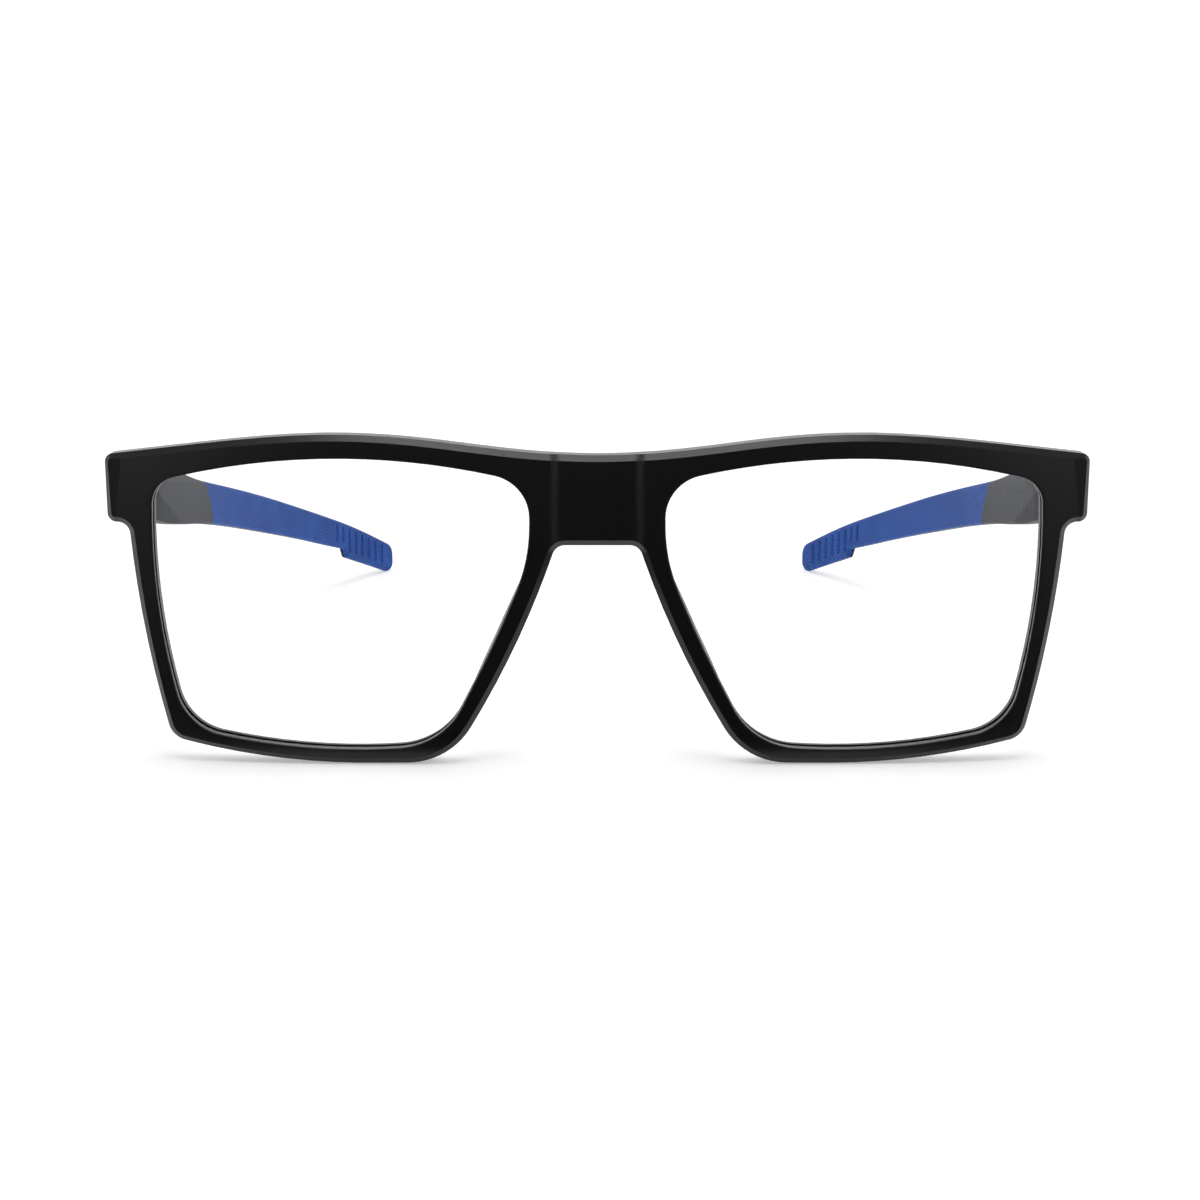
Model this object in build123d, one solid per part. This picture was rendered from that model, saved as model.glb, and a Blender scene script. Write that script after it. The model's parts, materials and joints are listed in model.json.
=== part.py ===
from build123d import *
import os
from math import cos, radians, sin, sqrt, tan

# Full-rim eyeglasses with clear plano lenses, in millimetres.
#
# Working frame: X runs across the face, Y runs from the front of the rims back along the
# temples, Z is up, and the glasses stand with open temples on the plane Z = 0.  Each piece
# is drawn once for the wearer's left side (+X) and mirrored for the right.  On export the
# whole model moves forward by half its depth, so the origin is the bottom centre of its box.

# ---------------------------------------------------------------- driving dimensions
half_width = 71.0  # centre to the outer side of an end piece
overall_depth = 147.0  # front of the rims to the end of a temple tip
bridge_top = 45.55  # height of the brow line on the centre
bridge_underside = 32.45  # height of the arch over the nose
brow_height = 48.6  # highest point of the brow line, above each lens
end_top = 45.45  # top outer corner of the end piece
end_bottom = 35.6  # underside of the end piece

rim_depth = 3.9  # front to back thickness of the rims
rim_chamfer = 0.85  # bevel round the front outline
rim_rear_edge = 0.45  # rounding of the outline at the back
facet_angle = 16.0  # degrees that the corner facets turn back from the X axis
aperture_edge = 0.22  # rounding of the lens apertures at the front

face_radius = 330.0  # plan curve of the front over each lens
face_apex = 27.0  # X of the foremost line of that curve
bridge_recess = 1.0  # how far the flat of the bridge lies behind that line
bridge_flat = 5.2  # half width of the flat of the bridge
bridge_shoulder = 6.9  # X where the curved face starts

lens_radius = face_radius  # both lens faces are concentric spheres that follow the rim in plan
lens_thickness = 1.8
lens_inset = 0.65  # least distance of the lens front behind the rim front
lens_scale = 1.025  # the lens outline is the aperture enlarged, so its edge lies in the groove
groove_gap = 0.03  # play of the lens in its groove, on every side
lens_centre = (36.5, 23.7)  # X and Z of the middle of a lens

block_rear = 11.5  # rear face of the end-piece block
block_inner = 66.75  # inner face of the block, which carries the front leaf
block_fall = 0.2  # fall of the top of the block for each millimetre backwards
block_top_lead = 1.2  # how far ahead of the back of the rim that fall starts
brow_fall = 0.125  # fall of the brow line for each millimetre outwards, over the end piece
fold_gap = 0.1  # gap between the block and the butt of the open temple

pivot_x = 67.2  # hinge axis, vertical
pivot_y = 13.0
barrel_radius = 1.25
barrel_bottom = 37.2
barrel_top = 43.4
knuckle_gap = 0.05
pin_radius = 0.6
pin_fit = 0.04  # radial clearance of the pin in the moving knuckle
head_radius = 1.1
head_height = 0.5
leaf_thickness = 0.8
leaf_start = 7.6  # depth of the front end of the front leaf
leaf_screw_radius = 0.5
leaf_screw_head = 0.9
leaf_screw_head_height = 0.35
leaf_screw_length = 2.0
slot_width = 0.3

arm_hinge_face = 68.0  # inner face of the arm beside the hinge
arm_hinge_end = 19.5  # where the thin hinge end starts to thicken
sweep_start = 48.0  # where the temples start to curve inwards
sweep_radius = 270.0  # plan curve of a temple's inner face
sweep_heading = 1.5  # degrees inward at the start of that curve
arm_inner_start = 66.1  # X of the inner face at the start of the curve
arm_thickness = 3.1  # arm and grip together, at the start of the curve
tip_thickness = 1.75  # the same at the ear pad
arm_edge = 0.6  # rounding of the long edges
step_y = 126.5  # depth of the step in the lower edge, in front of the ear pad
grip_thickness = 0.8
core_width = 0.6
core_height = 1.6
core_end = 112.0  # depth where the spring wire ends
rib_count = 8
rib_pitch = 2.75
rib_first = 122.5
groove_radius = 0.75
rib_groove_depth = 0.38
rib_margin = 0.9  # plain rubber above and below the grooves
tip_cap = 143.2  # the arm ends here and the grip closes the tip

tall = 60.0  # more than the height of anything, for cutting shapes


# ---------------------------------------------------------------- drawing helpers
def face_y(x):
    """Y of the curved front face over a lens."""
    return (abs(x) - face_apex) ** 2 / (2 * face_radius)


def prism_xy(face, bottom=-5.0, top=tall):
    """A plan outline, drawn in X and Y, as a vertical prism."""
    return Pos(0, 0, bottom) * extrude(face, amount=top - bottom)


def prism_xz(face, start=-5.0, end=30.0):
    """A front outline, drawn in X and Z, as a prism along Y."""
    return Pos(0, start, 0) * extrude(Plane.XZ * face, amount=end - start, dir=(0, 1, 0))


def prism_yz(face, start=30.0, end=90.0):
    """A side outline, drawn in Y and Z, as a prism along X."""
    return Pos(start, 0, 0) * extrude(Plane.YZ * face, amount=end - start)


def corner(face, point):
    """The corner of a flat outline nearest to a point."""
    return face.vertices().sort_by_distance(Vector(*point, 0))[0]


def outline(edges, rounded):
    """A closed face from its edges, with the listed corners rounded: (point, radius)."""
    face = make_face(edges)
    for point, radius in rounded:
        face = fillet(corner(face, point), radius)
    return face


def whole(edges):
    """Half an outline and its mirror image in X."""
    return list(edges) + [mirror(edge, Plane.YZ) for edge in edges]


def other_side(shape):
    return mirror(shape, Plane.YZ)


def box_between(low, high):
    size = [b - a for a, b in zip(low, high)]
    middle = [(a + b) / 2 for a, b in zip(low, high)]
    return Pos(*middle) * Box(*size)


def upright(x, y, bottom, top, radius):
    """A vertical cylinder."""
    return Pos(x, y, (bottom + top) / 2) * Cylinder(radius, top - bottom)


def across(x_start, x_end, y, z, radius):
    """A cylinder along X."""
    return Pos((x_start + x_end) / 2, y, z) * Rot(0, 90, 0) * Cylinder(radius, x_end - x_start)


# ---------------------------------------------------------------- outlines of the front
def front_outline():
    """Outer outline of the front, seen from the front."""
    side_top = (half_width, end_top)
    side_bottom = (half_width, end_bottom)
    notch = (67.85, end_bottom)
    temporal_foot = (62.85, 3.53)
    nasal_foot = (22.0, 0.08)
    arch = (6.05, bridge_underside)
    brow = Spline(
        (0, bridge_top), (13, 46.37), (25.5, 47.95), (39.5, brow_height), (53, 47.65), (63, 46.45),
        tangents=((1, 0), (1, -brow_fall)),
    )
    half = [
        brow,
        Line((63, 46.45), side_top),
        Line(side_top, side_bottom),
        Line(side_bottom, notch),
        ThreePointArc(notch, (66.55, 22.2), temporal_foot),
        ThreePointArc(temporal_foot, (49.0, 0.9), (35.0, 0.0)),
        Line((35.0, 0.0), nasal_foot),
        ThreePointArc(nasal_foot, (12.8, 16.0), arch),
        Line(arch, (0, bridge_underside)),
    ]
    rounded = []
    for side in (1, -1):
        for (x, z), radius in (
            (side_top, 1.3),
            (side_bottom, 1.3),
            (notch, 1.8),
            (temporal_foot, 3.2),
            (nasal_foot, 11.0),
            (arch, 1.9),
        ):
            rounded.append(((side * x, z), radius))
    return outline(whole(half), rounded)


def aperture_outline():
    """Edge of the left lens aperture, seen from the front."""
    nasal_brow = (9.75, 41.53)
    temporal_brow = (63.95, 41.53)
    temporal_foot = (60.4, 5.33)
    nasal_foot = (22.9, 3.08)
    nasal_bend = (9.85, 30.5)
    edges = [
        ThreePointArc(nasal_brow, (37.0, 45.23), temporal_brow),
        ThreePointArc(temporal_brow, (63.9, 23.9), temporal_foot),
        ThreePointArc(temporal_foot, (44.0, 2.61), nasal_foot),
        ThreePointArc(nasal_foot, (15.75, 16.8), nasal_bend),
        Line(nasal_bend, nasal_brow),
    ]
    rounded = [
        (nasal_brow, 6.3),
        (temporal_brow, 4.3),
        (temporal_foot, 8.0),
        (nasal_foot, 11.0),
        (nasal_bend, 26.0),
    ]
    return outline(edges, rounded)


def front_band():
    """Plan of the front: a flat bridge between two gently curved faces, of even thickness."""
    end_y = face_y(half_width)
    middle_x = (bridge_shoulder + half_width) / 2
    shoulder_y = face_y(bridge_shoulder)
    half = [
        Line((0, bridge_recess), (bridge_flat, bridge_recess)),
        Spline(
            (bridge_flat, bridge_recess), (bridge_shoulder, shoulder_y),
            tangents=((1, 0), (face_radius, bridge_shoulder - face_apex)),
        ),
        ThreePointArc(
            (bridge_shoulder, shoulder_y), (middle_x, face_y(middle_x)), (half_width, end_y)
        ),
        Line((half_width, end_y), (half_width, end_y + rim_depth)),
        ThreePointArc(
            (half_width, end_y + rim_depth),
            (middle_x, face_y(middle_x) + rim_depth),
            (bridge_flat, face_y(bridge_flat) + rim_depth),
        ),
        Line((bridge_flat, face_y(bridge_flat) + rim_depth), (0, face_y(bridge_flat) + rim_depth)),
    ]
    return make_face(whole(half))


# ---------------------------------------------------------------- lenses
def lens(play=0.0):
    """Clear plano lens, a spherical shell; with play, the room that it takes up in the rim."""
    x, z = lens_centre
    centre = Pos(face_apex, lens_inset + lens_radius, z)
    factor = lens_scale + play / z
    edge_outline = Pos(x * (1 - factor), z * (1 - factor), 0) * scale(aperture_outline(), by=factor)
    edge = prism_xz(edge_outline, -5.0, 12.0)
    blank = edge & (centre * Sphere(lens_radius + play))
    return blank - centre * Sphere(lens_radius - lens_thickness - play)


# ---------------------------------------------------------------- front frame
def pad_peg_sites():
    """X, Z of the two pegs that hold each nose pad on the rim."""
    return ((11.8, 22.5), (14.1, 17.0))


def end_block():
    """The part of an end piece that returns backwards to carry the hinge."""
    start = face_y(block_inner) + 1.5
    root = face_y(block_inner) + rim_depth
    cove = 1.2  # radius in the corner between the rim and the block
    plan = make_face(
        [
            Line((half_width, start), (half_width, block_rear)),
            Line((half_width, block_rear), (block_inner, block_rear)),
            Line((block_inner, block_rear), (block_inner, root + cove)),
            ThreePointArc(
                (block_inner, root + cove),
                (block_inner - 0.3 * cove, root + 0.3 * cove),
                (block_inner - cove, root),
            ),
            Line((block_inner - cove, root), (block_inner - cove, start)),
            Line((block_inner - cove, start), (half_width, start)),
        ]
    )
    return prism_xy(plan, end_bottom, tall)


def block_top():
    """Plane of the top of the block, which falls away behind the brow line."""
    outwards = Vector(1, 0, -brow_fall)
    backwards = Vector(0, 1, -block_fall)
    origin = Vector(half_width, face_y(half_width) + rim_depth - block_top_lead, end_top)
    return Plane(origin=origin, x_dir=outwards, z_dir=outwards.cross(backwards))


def corner_facet():
    """Plane of the slanted facet between the front and the side of the end piece."""
    upper = Vector(68.5, face_y(68.5), 44.3)
    lower = Vector(69.8, face_y(69.8), 36.1)
    down = lower - upper
    turn_back = Vector(cos(radians(facet_angle)), sin(radians(facet_angle)), 0)
    return Plane(origin=upper, x_dir=down, z_dir=down.cross(turn_back))


def mirrored_plane(plane):
    """The same cutting plane on the other side of the face."""
    flip = [Vector(-v.X, v.Y, v.Z) for v in (plane.origin, plane.x_dir, plane.z_dir)]
    return Plane(origin=flip[0], x_dir=flip[1], z_dir=flip[2])


def keep_behind(body, plane):
    """The larger part of a body cut in two by a plane."""
    pieces = [split(body, bisect_by=plane, keep=side) for side in (Keep.TOP, Keep.BOTTOM)]
    return max(pieces, key=lambda piece: piece.volume)


def wall_edges(body, wall, nearest, furthest):
    """Edges on the given wall that stay within two depths behind the curved front face."""
    found = []
    for edge in body.edges():
        depths = [place.Y - face_y(place.X) for place in (edge @ 0, edge @ 0.5, edge @ 1)]
        if min(depths) < nearest or max(depths) > furthest:
            continue
        if wall.distance_to(edge @ 0.5) < 0.01:
            found.append(edge)
    return ShapeList(found)


def front_frame():
    """The whole front, with both apertures and their grooves."""
    outer = prism_xz(front_outline())
    body = prism_xy(front_band()) & outer
    shell = Shell(outer.faces().filter_by(lambda f: abs(f.normal_at().Y) < 0.01))
    body = chamfer(wall_edges(body, shell, -1.0, 0.6), rim_chamfer)
    body = fillet(wall_edges(body, shell, rim_depth - 0.5, rim_depth + 1.0), rim_rear_edge)
    block = keep_behind(end_block() & outer, block_top())
    body = body + block + other_side(block)
    for plane in (corner_facet(), mirrored_plane(corner_facet())):
        body = keep_behind(body, plane)
    hole = prism_xz(aperture_outline())
    for side in (hole, other_side(hole)):
        body = body - side
        wall = Shell(side.faces().filter_by(lambda f: abs(f.normal_at().Y) < 0.01))
        body = fillet(wall_edges(body, wall, -0.1, 0.1), aperture_edge)
    groove = lens(groove_gap)
    return body - groove - other_side(groove)


# ---------------------------------------------------------------- temples
def sweep(start_x, radius, y):
    """X at depth y of an arc that leaves start_x at sweep_start and turns inwards."""
    heading = radians(sweep_heading)
    sine = sin(heading) + (y - sweep_start) / radius
    return start_x - radius * (cos(heading) - sqrt(1 - sine**2))


def arc_from_sweep_start(start_x, radius, end_y):
    middle_y = (sweep_start + end_y) / 2
    return ThreePointArc(
        (start_x, sweep_start),
        (sweep(start_x, radius, middle_y), middle_y),
        (sweep(start_x, radius, end_y), end_y),
    )


def outer_face():
    """Plan curve of a temple's outer face: the temple thins towards the ear pad."""
    heading = tan(radians(sweep_heading))
    tip_sine = sin(radians(sweep_heading)) + (overall_depth - sweep_start) / sweep_radius
    places = (
        (sweep_start, arm_thickness),
        (88.0, (arm_thickness + tip_thickness) / 2),
        (step_y, tip_thickness),
        (overall_depth, tip_thickness),
    )
    return Spline(
        [(sweep(arm_inner_start, sweep_radius, y) + thickness, y) for y, thickness in places],
        tangents=((-heading, 1), (-tip_sine / sqrt(1 - tip_sine**2), 1)),
    )


def temple_plan():
    """Plan of a whole temple, arm and grip together."""
    slope = tan(radians(sweep_heading))
    front_y = block_rear + fold_gap
    front_inner = (arm_inner_start + (sweep_start - front_y) * slope, front_y)
    front_outer = (half_width - 0.05, front_y)
    inner = arc_from_sweep_start(arm_inner_start, sweep_radius, overall_depth)
    outer = outer_face()
    return make_face(
        [
            inner,
            Line(inner @ 1, outer @ 1),
            outer,
            Spline(front_outer, outer @ 0, tangents=((-0.055, 1), (-slope, 1))),
            Line(front_inner, front_outer),
            Line(front_inner, inner @ 0),
        ]
    )


def layer(inner_x, outer_x, end_y):
    """Plan of an even layer between two curves that run alongside the inner face."""
    inner = arc_from_sweep_start(inner_x, sweep_radius + inner_x - arm_inner_start, end_y)
    outer = arc_from_sweep_start(outer_x, sweep_radius + outer_x - arm_inner_start, end_y)
    return make_face([inner, outer, Line(inner @ 0, outer @ 0), Line(inner @ 1, outer @ 1)])


def temple_side():
    """Side outline of a temple in Y and Z, with the step down to the ear pad."""
    front_y = block_rear + fold_gap
    front_top = (front_y, 44.1)
    front_bottom = (front_y, 35.7)
    tip_top = (overall_depth, 5.2)
    tip_bottom = (overall_depth, 0.0)
    foot = (144.8, 0.0)
    step_foot = (step_y + 1.0, 6.35)
    step = (step_y, 8.4)
    edges = [
        Spline(
            front_top, (24.0, 41.6), (37.0, 37.8), (60.6, 32.25), (89.8, 25.2), (119.3, 16.3), tip_top,
            tangents=((1, -0.12), (1, -0.47)),
        ),
        Line(tip_top, tip_bottom),
        Line(tip_bottom, foot),
        Spline(foot, (136.0, 3.3), step_foot, tangents=((-1, 0.38), (-1, 0.36))),
        Line(step_foot, step),
        Spline(
            step, (109.5, 13.3), (89.1, 18.65), (66.0, 24.05), (45.5, 27.95), (25.0, 31.9), front_bottom,
            tangents=((-1, 0.28), (-1, 0.24)),
        ),
        Line(front_bottom, front_top),
    ]
    return outline(edges, [(tip_top, 3.0), (tip_bottom, 1.8), (step_foot, 0.9), (step, 0.7)])


def long_edges(body):
    """The four long corners of a temple envelope, not those of its front end."""
    front_y = block_rear + fold_gap
    return body.edges().filter_by(
        lambda e: max((e @ 0).Y, (e @ 1).Y) > front_y + 0.01 and abs((e % 0.5).X) < 0.9
    )


def temple_envelope():
    """Arm and grip together."""
    body = prism_yz(temple_side()) & prism_xy(temple_plan())
    return fillet(long_edges(body), arm_edge)


def grip_zone():
    """Space of the grip: the inner layer behind a curved front edge, the sole and the tip."""
    rear = overall_depth + 5
    seam = make_face(
        [
            Spline((49.0, 37.0), (52.9, 32.4), (55.5, 28.0), (55.7, 24.0)),
            Line((55.7, 24.0), (55.7, -5.0)),
            Line((55.7, -5.0), (rear, -5.0)),
            Line((rear, -5.0), (rear, 37.0)),
            Line((rear, 37.0), (49.0, 37.0)),
        ]
    )
    inner = prism_xy(layer(arm_inner_start - 2, arm_inner_start + grip_thickness, rear - 2))
    tip = box_between((30, tip_cap, -5), (90, rear, tall))
    return (prism_yz(seam) & inner) + tip + grip_sole()


def grip_sole():
    """Space where the grip wraps under the arm, behind the step in the lower edge."""
    start = step_y + 1.7
    return prism_yz(
        Polygon((start, -5.0), (start, 7.3), (tip_cap + 1, 1.7), (tip_cap + 1, -5.0), align=None)
    )


def height_at(body, y):
    """Lowest and highest point of a body in a thin slice at depth y."""
    box = (body & box_between((30, y - 0.05, -5), (90, y + 0.05, tall))).bounding_box()
    return box.min.Z, box.max.Z


def rib_groove(body, y):
    """Round-ended groove down the inner face of the grip, between two ribs."""
    bottom, top = height_at(body, y)
    x = sweep(arm_inner_start, sweep_radius, y) - groove_radius + rib_groove_depth
    low = bottom + rib_margin + groove_radius
    high = top - rib_margin - groove_radius
    return upright(x, y, low, high, groove_radius) + [
        Pos(x, y, z) * Sphere(groove_radius) for z in (low, high)
    ]


def ribbed(grip):
    """The grip with its grooves cut."""
    grooves = [rib_groove(grip, rib_first + index * rib_pitch) for index in range(rib_count)]
    return grip - grooves


def temple_core():
    """Flat spring wire that lies in a channel of the arm, under the grip."""
    middle = [(60.0, 28.8), (89.5, 21.9), (core_end, 15.6)]
    upper = Spline([(y, z + core_height / 2) for y, z in middle])
    lower = Spline([(y, z - core_height / 2) for y, z in middle])
    side = make_face([upper, lower, Line(upper @ 0, lower @ 0), Line(upper @ 1, lower @ 1)])
    start = arm_inner_start + grip_thickness
    return prism_yz(side) & prism_xy(layer(start, start + core_width, core_end + 1))


def below_plane(points, low, high):
    """The part of a box on the nose side of the plane through three points."""
    a, b, c = [Vector(*point) for point in points]
    block = box_between(low, high)
    plane = Plane(origin=a, x_dir=b - a, z_dir=(b - a).cross(c - a))
    halves = [split(block, bisect_by=plane, keep=side) for side in (Keep.TOP, Keep.BOTTOM)]
    return min(halves, key=lambda half: half.center().X)


def hinge_relief():
    """What the arm gives up at its front end: room for the hinge and two slanted faces."""
    front_y = block_rear - 1
    pocket = box_between((60, front_y, -5), (arm_hinge_face, arm_hinge_end, tall))
    barrel = upright(pivot_x, pivot_y, 0, tall, barrel_radius + 0.25)
    ramp = below_plane(
        ((66.35, 23.4, 37.0), (66.2, 34.1, 30.9), (arm_hinge_face, arm_hinge_end, 33.5)),
        (60, front_y, 20), (72, sweep_start, tall),
    )
    shoulder = below_plane(
        ((66.35, 23.4, 37.0), (66.1, 48.5, 34.6), (67.9, 23.4, 41.8)),
        (60, front_y, 20), (72, sweep_start, tall),
    )
    return pocket + barrel + ramp + shoulder


# ---------------------------------------------------------------- hinges
def knuckle(bottom, top):
    return upright(pivot_x, pivot_y, bottom, top, barrel_radius)


def knuckle_levels():
    """Bottom and top of the three knuckles, lowest first."""
    height = (barrel_top - barrel_bottom - 2 * knuckle_gap) / 3
    starts = [barrel_bottom + index * (height + knuckle_gap) for index in range(3)]
    return [(start, start + height) for start in starts]


def hinge_front_leaf(pin, screws):
    """Plate on the inner side of the end block, with the lower and the upper knuckle."""
    levels = knuckle_levels()
    body = box_between(
        (block_inner - leaf_thickness, leaf_start, barrel_bottom), (block_inner, block_rear, barrel_top)
    )
    for bottom, top in (levels[0], levels[2]):
        strap = box_between(
            (block_inner - leaf_thickness, block_rear, bottom), (block_inner, pivot_y, top)
        )
        body = body + strap + knuckle(bottom, top)
    return body - pin - screws


def hinge_temple_leaf(screws):
    """Plate on the inner face of the arm, with the middle knuckle."""
    bottom, top = knuckle_levels()[1]
    plate_start = pivot_y + barrel_radius + 0.25
    plate = box_between(
        (arm_hinge_face - leaf_thickness, plate_start, barrel_bottom + 0.4),
        (arm_hinge_face, arm_hinge_end, barrel_top - 1.2),
    )
    tongue = box_between(
        (arm_hinge_face - leaf_thickness, pivot_y, bottom), (arm_hinge_face, plate_start, top)
    )
    bore = upright(pivot_x, pivot_y, bottom - 1, top + 1, pin_radius + pin_fit)
    return plate + tongue + knuckle(bottom, top) - bore - screws


def hinge_screw():
    """Slotted screw that is the hinge pin; its head rests on the upper knuckle."""
    shank = upright(pivot_x, pivot_y, barrel_bottom, barrel_top, pin_radius)
    head = upright(pivot_x, pivot_y, barrel_top, barrel_top + head_height, head_radius)
    slot = box_between(
        (pivot_x - 2, pivot_y - slot_width / 2, barrel_top + head_height / 2),
        (pivot_x + 2, pivot_y + slot_width / 2, barrel_top + 1),
    )
    return shank + head - slot


def leaf_screw(face_x, y, z):
    """Small slotted screw through a leaf whose outer face is at face_x, pointing outwards."""
    shank = across(face_x, face_x + leaf_screw_length, y, z, leaf_screw_radius)
    head = across(face_x - leaf_screw_head_height, face_x, y, z, leaf_screw_head)
    slot = box_between(
        (face_x - 1, y - slot_width / 2, z - 2),
        (face_x - leaf_screw_head_height / 2, y + slot_width / 2, z + 2),
    )
    return shank + head - slot


def front_leaf_screws():
    face_x = block_inner - leaf_thickness
    return [leaf_screw(face_x, 9.0, z) for z in (38.7, 41.9)]


def temple_leaf_screws():
    face_x = arm_hinge_face - leaf_thickness
    return [leaf_screw(face_x, 17.4, z) for z in (38.7, 41.1)]


# ---------------------------------------------------------------- nose pads
def pad_pegs():
    """Two pegs that reach from the pad into the back of the rim."""
    length = 2.4
    y = rim_depth - 0.1
    return [Pos(x, y, z) * Rot(90, 0, 0) * Cylinder(0.65, length) for x, z in pad_peg_sites()]


def nose_pad():
    """Soft pad on the back of the nasal rim, held by two pegs."""
    section = make_face(
        [
            Line((7.85, 3.0), (7.85, 4.4)),
            Spline((7.85, 4.4), (8.7, 7.2), (9.9, 8.9)),
            Spline((9.9, 8.9), (10.6, 7.4), (10.85, 4.4)),
            Line((10.85, 4.4), (10.85, 3.0)),
            Line((10.85, 3.0), (7.85, 3.0)),
        ]
    )
    along = Vector(0.43, 0, -1).normalized()
    bar = Pos(0, 0, 29.0) * extrude(section, amount=21.0, dir=along)
    swell = make_face(
        [
            ThreePointArc((3.2, 27.6), (8.3, 19.5), (3.2, 11.6)),
            Line((3.2, 11.6), (3.2, 27.6)),
        ]
    )
    pad = bar & prism_yz(swell, 0.0, 30.0)
    pad = pad - prism_xy(front_band()) - prism_xz(aperture_outline())
    return pad + pad_pegs()


def temple(screws):
    """Arm, grip and core of one temple."""
    envelope = temple_envelope()
    grip = envelope & grip_zone()
    core = temple_core()
    arm = envelope - grip - core - hinge_relief() - screws
    return arm, ribbed(grip), core


if __name__ == "__main__":
    os.makedirs("parts", exist_ok=True)
    left = {"lens": lens(), "hinge_screw": hinge_screw()}
    front_screws = front_leaf_screws()
    arm_screws = temple_leaf_screws()
    left["front_leaf_screws"] = Compound(front_screws)
    left["temple_leaf_screws"] = Compound(arm_screws)
    left["hinge_front_leaf"] = hinge_front_leaf(left["hinge_screw"], front_screws)
    left["hinge_temple_leaf"] = hinge_temple_leaf(arm_screws)
    arm, grip, core = temple(arm_screws)
    left["temple_arm"] = arm
    left["temple_grip"] = grip
    left["temple_core"] = core
    frame = front_frame()
    for screw in front_screws:
        frame = frame - screw - other_side(screw)
    left["nose_pad"] = nose_pad()
    for peg in pad_pegs():
        frame = frame - peg - other_side(peg)
    to_origin = Pos(0, -overall_depth / 2, 0)
    export_step(to_origin * frame, "parts/front_frame.step")
    for name, shape in left.items():
        print(name, round(shape.volume, 1), len(shape.solids()), shape.is_valid)
        export_step(to_origin * shape, f"parts/{name}_left.step")
        export_step(to_origin * other_side(shape), f"parts/{name}_right.step")
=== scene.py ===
import json
import math

import bpy
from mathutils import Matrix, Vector


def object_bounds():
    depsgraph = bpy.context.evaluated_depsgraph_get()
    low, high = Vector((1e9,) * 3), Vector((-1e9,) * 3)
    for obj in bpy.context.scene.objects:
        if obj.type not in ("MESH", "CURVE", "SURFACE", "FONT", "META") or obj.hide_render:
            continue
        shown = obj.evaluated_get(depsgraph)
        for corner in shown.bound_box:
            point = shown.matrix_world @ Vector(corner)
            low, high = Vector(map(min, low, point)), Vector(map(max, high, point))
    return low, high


# Studio scene of a pair of full-rim glasses.  Everything is in metres in the frame of the CAD
# model: +X is the wearer's left, the front looks along -Y, Z is up and the floor is at Z = 0.

MM = 0.001

# Camera, fitted to the front view: distance in front of the rims, height, tilt and lens.
CAMERA_DISTANCE = 280 * MM
CAMERA_HEIGHT = 85.35 * MM
CAMERA_PITCH = math.radians(12.21)
CAMERA_LENS = 59.53
CAMERA_SHIFT_X = 0.0022

# Area lights: place, target, size in metres and power in watts.
OVERHEAD_BOX = ((0.0, -0.12, 0.5), (0.0, -0.06, 0.04), (0.24, 0.30), 1.0)
FRONT_BOX = ((0.5, -0.87, 0.08), (0.07, -0.07, 0.04), (0.06, 0.25), 0.65)
SIDE_BOX = ((0.75, 0.1, 0.3), (0.0, 0.0, 0.02), (0.35, 0.3), 0.3)

# Brightness of the room on the camera's side and on the far side, and the Y of a direction
# (-1 towards the camera, 1 away from it) where each is reached.
ROOM_DARK, ROOM_BRIGHT = 0.06, 0.8
ROOM_DARK_Y, ROOM_BRIGHT_Y = -0.6, 0.4

# Glow of the floor paper near the glasses and far from them, and where it changes.
FLOOR_GLOW_NEAR, FLOOR_GLOW_FAR = 0.38, 0.85
FLOOR_NEAR, FLOOR_FAR = 0.2, 0.7


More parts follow.
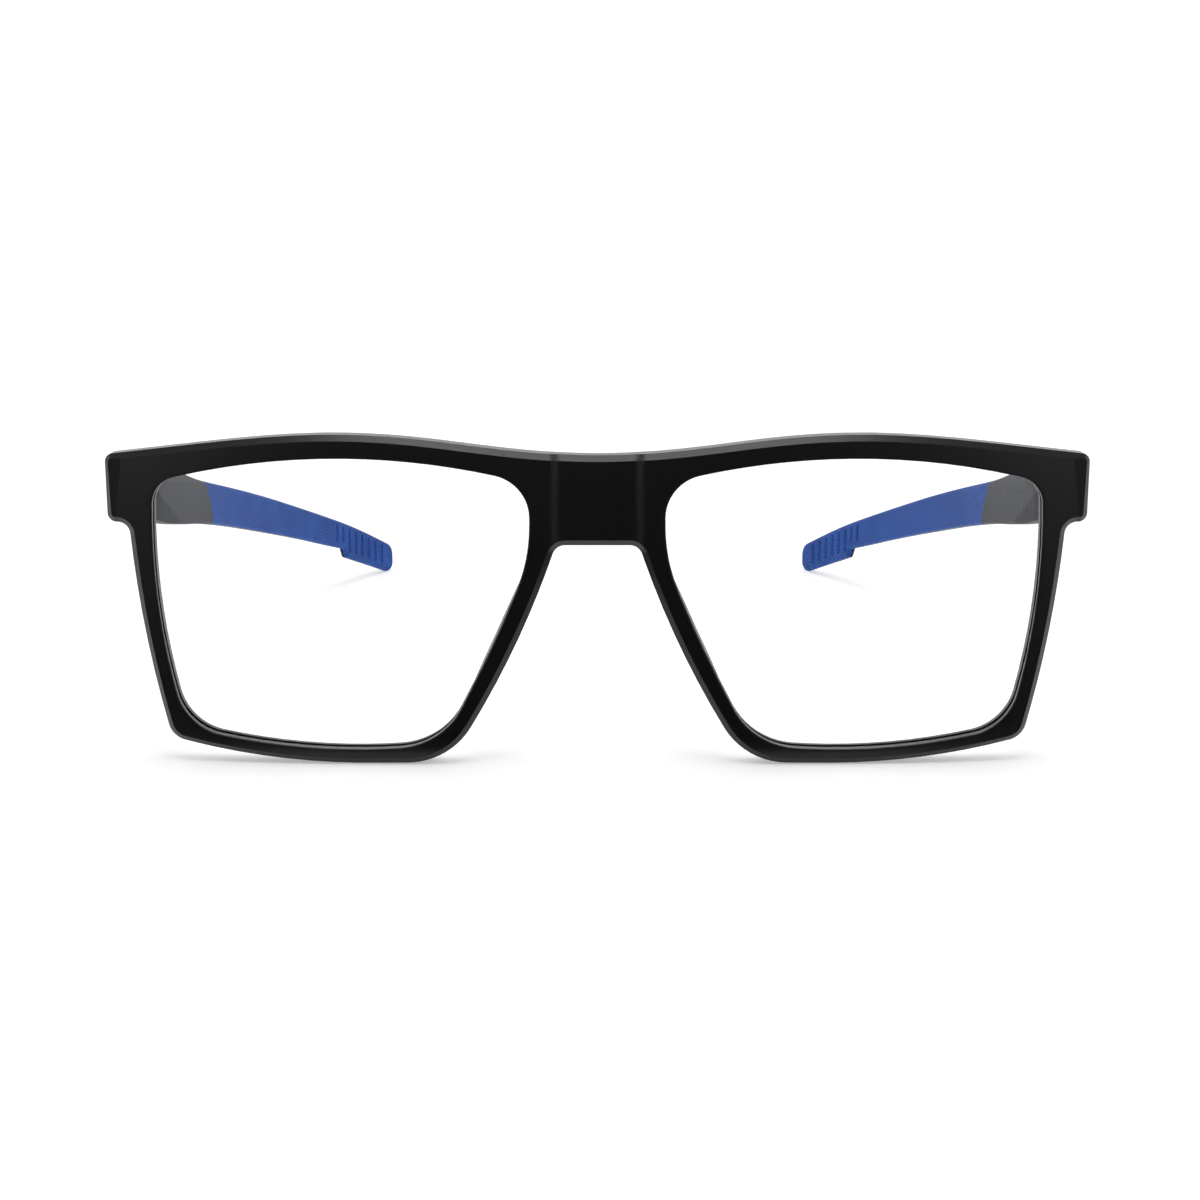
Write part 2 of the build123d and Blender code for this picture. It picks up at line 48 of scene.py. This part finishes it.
# ---------------------------------------------------------------- node helpers
class Surface:
    """One procedural material: a Principled shader and short ways to add nodes to it."""

    def __init__(self, name):
        self.material = bpy.data.materials.new(name)
        self.material.use_nodes = True
        self.tree = self.material.node_tree
        self.shader = self.tree.nodes["Principled BSDF"]
        self.output = self.tree.nodes["Material Output"]
        self.place = self.tree.nodes.new("ShaderNodeTexCoord").outputs["Object"]

    def node(self, kind, **values):
        made = self.tree.nodes.new(kind)
        for key, value in values.items():
            setattr(made, key, value)
        return made

    def link(self, source, target):
        self.tree.links.new(source, target)

    def set(self, **values):
        for key, value in values.items():
            self.shader.inputs[key.replace("_", " ")].default_value = value

    def stretched(self, factors):
        """Object coordinates stretched by a factor on each axis."""
        mapping = self.node("ShaderNodeMapping")
        mapping.inputs["Scale"].default_value = factors
        self.link(self.place, mapping.inputs["Vector"])
        return mapping.outputs["Vector"]

    def noise(self, grain, detail=3.0, roughness=0.5, place=None):
        """Noise whose features are about grain metres across."""
        made = self.node("ShaderNodeTexNoise")
        made.inputs["Scale"].default_value = 1.0 / grain
        made.inputs["Detail"].default_value = detail
        made.inputs["Roughness"].default_value = roughness
        self.link(place or self.place, made.inputs["Vector"])
        return made.outputs["Fac"]

    def ramp(self, factor, low, high, start=0.35, end=0.65):
        """Factor remapped from start..end to low..high."""
        made = self.node("ShaderNodeMapRange")
        made.inputs["From Min"].default_value = start
        made.inputs["From Max"].default_value = end
        made.inputs["To Min"].default_value = low
        made.inputs["To Max"].default_value = high
        self.link(factor, made.inputs["Value"])
        return made.outputs["Result"]

    def blend(self, factor, first, second):
        """Mix of two colours, each a tuple or a socket."""
        made = self.node("ShaderNodeMix", data_type="RGBA")
        self.link(factor, made.inputs["Factor"])
        for value, socket in ((first, made.inputs["A"]), (second, made.inputs["B"])):
            if isinstance(value, tuple):
                socket.default_value = (*value, 1.0)
            else:
                self.link(value, socket)
        return made.outputs["Result"]

    def add(self, first, second, operation="ADD"):
        made = self.node("ShaderNodeMath", operation=operation)
        for value, socket in ((first, made.inputs[0]), (second, made.inputs[1])):
            if isinstance(value, float):
                socket.default_value = value
            else:
                self.link(value, socket)
        return made.outputs["Value"]

    def bump(self, heights):
        """Stacked bumps: (height socket, depth in metres, strength)."""
        normal = None
        for height, depth, strength in heights:
            made = self.node("ShaderNodeBump")
            made.inputs["Strength"].default_value = strength
            made.inputs["Distance"].default_value = depth
            self.link(height, made.inputs["Height"])
            if normal is not None:
                self.link(normal, made.inputs["Normal"])
            normal = made.outputs["Normal"]
        self.link(normal, self.shader.inputs["Normal"])

    def edges(self, radius, start=0.02, end=0.25):
        """1 along sharp edges and 0 on open faces, from how far a rounded normal turns."""
        rounded = self.node("ShaderNodeBevel", samples=6)
        rounded.inputs["Radius"].default_value = radius
        plain = self.node("ShaderNodeNewGeometry")
        dot = self.node("ShaderNodeVectorMath", operation="DOT_PRODUCT")
        self.link(rounded.outputs["Normal"], dot.inputs[0])
        self.link(plain.outputs["Normal"], dot.inputs[1])
        turned = self.add(1.0, dot.outputs["Value"], "SUBTRACT")
        return self.ramp(turned, 0.0, 1.0, start, end)


# ---------------------------------------------------------------- materials
def moulded_nylon(name, base, worn, specular, roughness, grain=0.16 * MM):
    """Matte injection-moulded nylon with a spark-eroded grain and rubbed edges."""
    s = Surface(name)
    cloud = s.noise(9 * MM, 4.0)
    fine = s.noise(grain, 2.0, 0.6)
    pores = s.noise(0.55 * MM, 3.0, 0.65)
    body = s.blend(s.ramp(cloud, 0.0, 1.0), base, tuple(1.35 * c for c in base))
    speckled = s.blend(s.ramp(fine, 0.0, 0.35, 0.5, 0.75), body, worn)
    rubbed = s.add(s.edges(0.25 * MM), s.ramp(pores, 0.25, 0.75), "MULTIPLY")
    s.link(s.blend(s.add(rubbed, 0.5, "MULTIPLY"), speckled, worn), s.shader.inputs["Base Color"])
    rough = s.ramp(pores, *roughness)
    s.link(s.add(rough, s.add(rubbed, 0.1, "MULTIPLY"), "SUBTRACT"), s.shader.inputs["Roughness"])
    s.bump([(pores, 0.02 * MM, 0.25), (fine, 0.012 * MM, 0.35)])
    s.set(Specular_IOR_Level=specular, IOR=1.5)
    return s.material


def soft_rubber():
    """Blue soft-touch overmould: velvety, faintly mottled, paler along its edges."""
    s = Surface("blue_rubber")
    cloud = s.noise(6 * MM, 4.0)
    fine = s.noise(0.12 * MM, 2.0, 0.6)
    skin = s.noise(0.7 * MM, 4.0, 0.6)
    deep, bright = (0.009, 0.052, 0.25), (0.013, 0.072, 0.32)
    body = s.blend(s.ramp(cloud, 0.0, 1.0), deep, bright)
    pale = s.blend(s.ramp(fine, 0.0, 0.3, 0.5, 0.8), body, (0.035, 0.11, 0.42))
    rim = s.add(s.edges(0.3 * MM), 0.45, "MULTIPLY")
    s.link(s.blend(rim, pale, (0.04, 0.12, 0.42)), s.shader.inputs["Base Color"])
    s.link(s.ramp(skin, 0.56, 0.7), s.shader.inputs["Roughness"])
    s.bump([(skin, 0.02 * MM, 0.3), (fine, 0.01 * MM, 0.4)])
    s.set(Specular_IOR_Level=0.12, Sheen_Weight=0.01, Sheen_Roughness=0.5)
    return s.material


def pad_silicone():
    """Satin black silicone with a little dust and a faint moulded texture."""
    s = Surface("pad_silicone")
    cloud = s.noise(3 * MM, 3.0)
    dust = s.noise(0.25 * MM, 2.0, 0.7)
    body = s.blend(s.ramp(cloud, 0.0, 1.0), (0.010, 0.010, 0.011), (0.018, 0.018, 0.020))
    dusty = s.blend(s.ramp(dust, 0.0, 0.5, 0.62, 0.8), body, (0.07, 0.07, 0.07))
    s.link(dusty, s.shader.inputs["Base Color"])
    s.link(s.ramp(cloud, 0.32, 0.44), s.shader.inputs["Roughness"])
    s.bump([(dust, 0.01 * MM, 0.3), (cloud, 0.03 * MM, 0.2)])
    s.set(Specular_IOR_Level=0.45, Sheen_Weight=0.05, Sheen_Roughness=0.4)
    return s.material


def clear_lens():
    """Polished clear lens with a faint blue-violet coating that shows at grazing angles."""
    s = Surface("clear_lens")
    facing = s.node("ShaderNodeLayerWeight")
    facing.inputs["Blend"].default_value = 0.35
    grazing = s.ramp(facing.outputs["Facing"], 0.0, 1.0, 0.3, 1.0)
    s.link(s.blend(grazing, (0.992, 0.995, 1.0), (0.90, 0.93, 1.0)), s.shader.inputs["Base Color"])
    s.link(s.ramp(s.noise(4 * MM, 3.0), 0.0, 0.012), s.shader.inputs["Roughness"])
    s.set(IOR=1.5, Transmission_Weight=1.0)
    s.shader.inputs["Specular Tint"].default_value = (0.15, 0.19, 0.40, 1.0)
    path = s.node("ShaderNodeLightPath")
    through = s.node("ShaderNodeBsdfTransparent")
    through.inputs["Color"].default_value = (0.96, 0.97, 0.98, 1.0)
    mixed = s.node("ShaderNodeMixShader")
    s.link(path.outputs["Is Shadow Ray"], mixed.inputs[0])
    s.link(s.shader.outputs["BSDF"], mixed.inputs[1])
    s.link(through.outputs["BSDF"], mixed.inputs[2])
    s.link(mixed.outputs["Shader"], s.output.inputs["Surface"])
    return s.material


def drawn_steel(name, colour, direction, roughness=(0.24, 0.4)):
    """Metal with fine streaks along a direction given as stretch factors."""
    s = Surface(name)
    streaks = s.noise(0.06 * MM, 3.0, 0.6, s.stretched(direction))
    stains = s.noise(1.2 * MM, 3.0)
    dull = tuple(0.72 * c for c in colour)
    body = s.blend(s.ramp(streaks, 0.0, 1.0), dull, colour)
    s.link(s.blend(s.ramp(stains, 0.0, 0.35), body, (0.30, 0.28, 0.26)), s.shader.inputs["Base Color"])
    s.link(s.ramp(streaks, *roughness), s.shader.inputs["Roughness"])
    s.bump([(streaks, 0.004 * MM, 0.4)])
    s.set(Metallic=1.0)
    return s.material


def all_materials():
    """One material for each slot of the record."""
    return {
        "frame_plastic": moulded_nylon(
            "frame_plastic", (0.0022, 0.0022, 0.0024), (0.012, 0.012, 0.013), 0.36, (0.29, 0.36)
        ),
        "temple_plastic": moulded_nylon(
            "temple_plastic", (0.006, 0.006, 0.0062), (0.016, 0.016, 0.0165), 0.15, (0.42, 0.5)
        ),
        "blue_rubber": soft_rubber(),
        "pad_silicone": pad_silicone(),
        "clear_lens": clear_lens(),
        "hinge_steel": drawn_steel("hinge_steel", (0.62, 0.61, 0.59), (1.0, 1.0, 0.06)),
        "core_steel": drawn_steel("core_steel", (0.55, 0.55, 0.55), (1.0, 0.05, 1.0)),
        "screw_steel": drawn_steel("screw_steel", (0.78, 0.78, 0.80), (1.0, 0.3, 1.0), (0.14, 0.26)),
    }


def finish_nodes(frame, materials):
    """Gives every CAD node the material of its slot."""
    for part in frame["record"]["subparts"]:
        node = frame["nodes"][part["node"]]
        material = materials[part["material_slot"]]
        for index in range(max(1, len(node.material_slots))):
            if index < len(node.material_slots):
                node.material_slots[index].material = material
            else:
                node.data.materials.append(material)


# ---------------------------------------------------------------- studio
def backdrop():
    """Pale floor that sweeps up into a wall far behind the glasses."""
    half_width, near, far, radius, height = 3.0, -3.0, 1.6, 0.8, 3.0
    steps = 24
    profile = [(near, 0.0)]
    for index in range(steps + 1):
        turn = math.pi / 2 * index / steps
        profile.append((far + radius * math.sin(turn), radius * (1 - math.cos(turn))))
    profile.append((far + radius, height))
    points, faces = [], []
    for y, z in profile:
        points += [(-half_width, y, z), (half_width, y, z)]
    for row in range(len(profile) - 1):
        first = 2 * row
        faces.append((first, first + 1, first + 3, first + 2))
    mesh = bpy.data.meshes.new("floor")
    mesh.from_pydata(points, [], faces)
    for face in mesh.polygons:
        face.use_smooth = True
    floor = bpy.data.objects.new("floor", mesh)
    bpy.context.scene.collection.objects.link(floor)
    s = Surface("floor_paper")
    fibres = s.noise(1.5 * MM, 4.0, 0.6)
    paper = s.blend(s.ramp(fibres, 0.0, 1.0), (0.86, 0.86, 0.86), (0.88, 0.88, 0.88))
    s.link(paper, s.shader.inputs["Base Color"])
    s.link(s.ramp(fibres, 0.7, 0.8), s.shader.inputs["Roughness"])
    s.set(Specular_IOR_Level=0.2)
    s.shader.inputs["Emission Color"].default_value = (1.0, 1.0, 1.0, 1.0)
    distance = s.node("ShaderNodeVectorMath", operation="LENGTH")
    s.link(s.place, distance.inputs[0])
    glow = s.ramp(distance.outputs["Value"], FLOOR_GLOW_NEAR, FLOOR_GLOW_FAR, FLOOR_NEAR, FLOOR_FAR)
    s.link(glow, s.shader.inputs["Emission Strength"])
    mesh.materials.append(s.material)


def black_card(front_y):
    """Dark card on the floor in front of the rims, which only reflections see."""
    near, far, half_width, lift = 3 * MM, 900 * MM, 600 * MM, 1 * MM
    corners = [(-half_width, near), (half_width, near), (half_width, far), (-half_width, far)]
    mesh = bpy.data.meshes.new("black_card")
    mesh.from_pydata([(x, front_y - y, lift) for x, y in corners], [], [(0, 1, 2, 3)])
    s = Surface("black_card")
    s.set(Base_Color=(0.02, 0.02, 0.02, 1.0), Roughness=0.9, Specular_IOR_Level=0.0)
    mesh.materials.append(s.material)
    card = bpy.data.objects.new("black_card", mesh)
    card.visible_camera = False
    card.visible_diffuse = False
    card.visible_shadow = False
    card.visible_transmission = False
    bpy.context.scene.collection.objects.link(card)


def softbox(name, place, target, size, power):
    """Rectangular area light aimed at a point."""
    light = bpy.data.lights.new(name, "AREA")
    light.shape = "RECTANGLE"
    light.size, light.size_y = size
    light.energy = power
    lamp = bpy.data.objects.new(name, light)
    lamp.location = place
    lamp.rotation_euler = (Vector(target) - Vector(place)).to_track_quat("-Z", "Y").to_euler()
    bpy.context.scene.collection.objects.link(lamp)


def mirrored(box):
    """The same area light on the other side of the glasses."""
    (x, y, z), (target_x, target_y, target_z), size, power = box
    return (-x, y, z), (-target_x, target_y, target_z), size, power


def room():
    """Room that is dark on the camera's side and white to the camera itself."""
    world = bpy.data.worlds.new("studio")
    world.use_nodes = True
    bpy.context.scene.world = world
    tree = world.node_tree
    ground = tree.nodes["Background"]
    place = tree.nodes.new("ShaderNodeTexCoord")
    axes = tree.nodes.new("ShaderNodeSeparateXYZ")
    tree.links.new(place.outputs["Generated"], axes.inputs["Vector"])
    shade = tree.nodes.new("ShaderNodeMapRange")
    shade.interpolation_type = "SMOOTHSTEP"
    shade.inputs["From Min"].default_value = ROOM_DARK_Y
    shade.inputs["From Max"].default_value = ROOM_BRIGHT_Y
    shade.inputs["To Min"].default_value = ROOM_DARK
    shade.inputs["To Max"].default_value = ROOM_BRIGHT
    tree.links.new(axes.outputs["Y"], shade.inputs["Value"])
    tree.links.new(shade.outputs["Result"], ground.inputs["Color"])
    seen = tree.nodes.new("ShaderNodeBackground")
    seen.inputs["Color"].default_value = (1.0, 1.0, 1.0, 1.0)
    path = tree.nodes.new("ShaderNodeLightPath")
    mixed = tree.nodes.new("ShaderNodeMixShader")
    tree.links.new(path.outputs["Is Camera Ray"], mixed.inputs[0])
    tree.links.new(ground.outputs["Background"], mixed.inputs[1])
    tree.links.new(seen.outputs["Background"], mixed.inputs[2])
    tree.links.new(mixed.outputs["Shader"], tree.nodes["World Output"].inputs["Surface"])


def studio_light():
    """The room, one box overhead, and a pair of boxes in front and at the sides."""
    room()
    softbox("overhead_box", *OVERHEAD_BOX)
    for box in (mirrored(FRONT_BOX), FRONT_BOX):
        softbox("front_box", *box)
    for box in (mirrored(SIDE_BOX), SIDE_BOX):
        softbox("side_box", *box)


def camera(low):
    """Camera in front of the glasses, looking slightly down on them."""
    data = bpy.data.cameras.new("camera")
    data.sensor_width = 36.0
    data.lens = CAMERA_LENS
    data.shift_x = CAMERA_SHIFT_X
    data.clip_start = 0.01
    shot = bpy.data.objects.new("camera", data)
    shot.location = (0.0, low.y - CAMERA_DISTANCE, CAMERA_HEIGHT)
    shot.rotation_euler = (math.pi / 2 - CAMERA_PITCH, 0.0, 0.0)
    bpy.context.scene.collection.objects.link(shot)
    bpy.context.scene.camera = shot


with open("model.json") as file:
    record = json.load(file)
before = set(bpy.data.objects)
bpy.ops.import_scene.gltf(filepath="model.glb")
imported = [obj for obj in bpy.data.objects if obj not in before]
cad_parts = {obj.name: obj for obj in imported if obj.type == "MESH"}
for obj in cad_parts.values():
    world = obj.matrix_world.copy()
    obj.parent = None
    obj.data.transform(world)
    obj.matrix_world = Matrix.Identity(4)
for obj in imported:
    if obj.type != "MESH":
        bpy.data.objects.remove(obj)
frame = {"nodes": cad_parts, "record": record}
cad_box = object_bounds()
bpy.context.scene.view_settings.view_transform = "Standard"
camera(cad_box[0])
finish_nodes(frame, all_materials())
backdrop()
black_card(cad_box[0].y)
studio_light()
